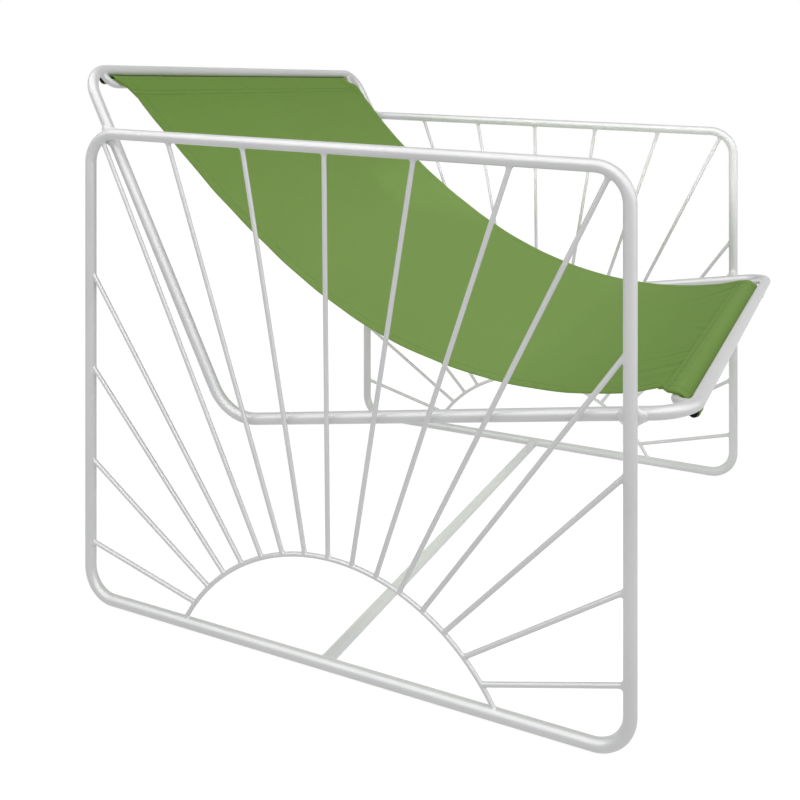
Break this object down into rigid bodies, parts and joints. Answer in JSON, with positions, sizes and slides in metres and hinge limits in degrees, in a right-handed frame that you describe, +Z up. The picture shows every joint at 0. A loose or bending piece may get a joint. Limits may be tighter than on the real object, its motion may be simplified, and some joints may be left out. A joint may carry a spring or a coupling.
{
  "type": "sling lounge chair",
  "caption": "Low lounge chair: two side loops of welded steel tube, each filled with a half sun of rods, carry an L-shaped seat frame with a hung canvas sling.",
  "frame": {"origin": "centre of the chair's outline on the floor", "axes": "+Z up, the sitter faces -Y, the sitter's left hand is on the +X side"},
  "size_m": [0.823, 0.8424, 0.7306],
  "materials": {
    "white_paint": "smooth semi-gloss powder coat, off-white",
    "black_paint": "satin black",
    "green_canvas": "matt woven canvas, leaf green"
  },
  "bodies": {
    "chair": {"right_side_loop": "white_paint", "left_side_loop": "white_paint", "right_arc": "white_paint", "left_arc": "white_paint", "right_ray_01": "white_paint", "right_ray_02": "white_paint", "right_ray_03": "white_paint", "right_ray_04": "white_paint", "right_ray_05": "white_paint", "right_ray_06": "white_paint", "right_ray_07": "white_paint", "right_ray_08": "white_paint", "right_ray_09": "white_paint", "right_ray_10": "white_paint", "right_ray_11": "white_paint", "right_ray_12": "white_paint", "right_ray_13": "white_paint", "right_ray_14": "white_paint", "right_ray_15": "white_paint", "left_ray_01": "white_paint", "left_ray_02": "white_paint", "left_ray_03": "white_paint", "left_ray_04": "white_paint", "left_ray_05": "white_paint", "left_ray_06": "white_paint", "left_ray_07": "white_paint", "left_ray_08": "white_paint", "left_ray_09": "white_paint", "left_ray_10": "white_paint", "left_ray_11": "white_paint", "left_ray_12": "white_paint", "left_ray_13": "white_paint", "left_ray_14": "white_paint", "left_ray_15": "white_paint", "floor_stretcher": "white_paint", "seat_frame": "white_paint", "back_sling_rail": "white_paint", "front_sling_rail": "white_paint", "sling": "green_canvas"},
    "back_rod": {"back_hem_rod": "black_paint"},
    "front_rod": {"front_hem_rod": "black_paint"}
  },
  "joints": [
    {"name": "back_rod_slide", "type": "slide", "parent": "chair", "child": "back_rod", "axis": [1, 0, 0], "range_m": [-0.74, 0.74]},
    {"name": "front_rod_slide", "type": "slide", "parent": "chair", "child": "front_rod", "axis": [1, 0, 0], "range_m": [-0.74, 0.74]}
  ]
}
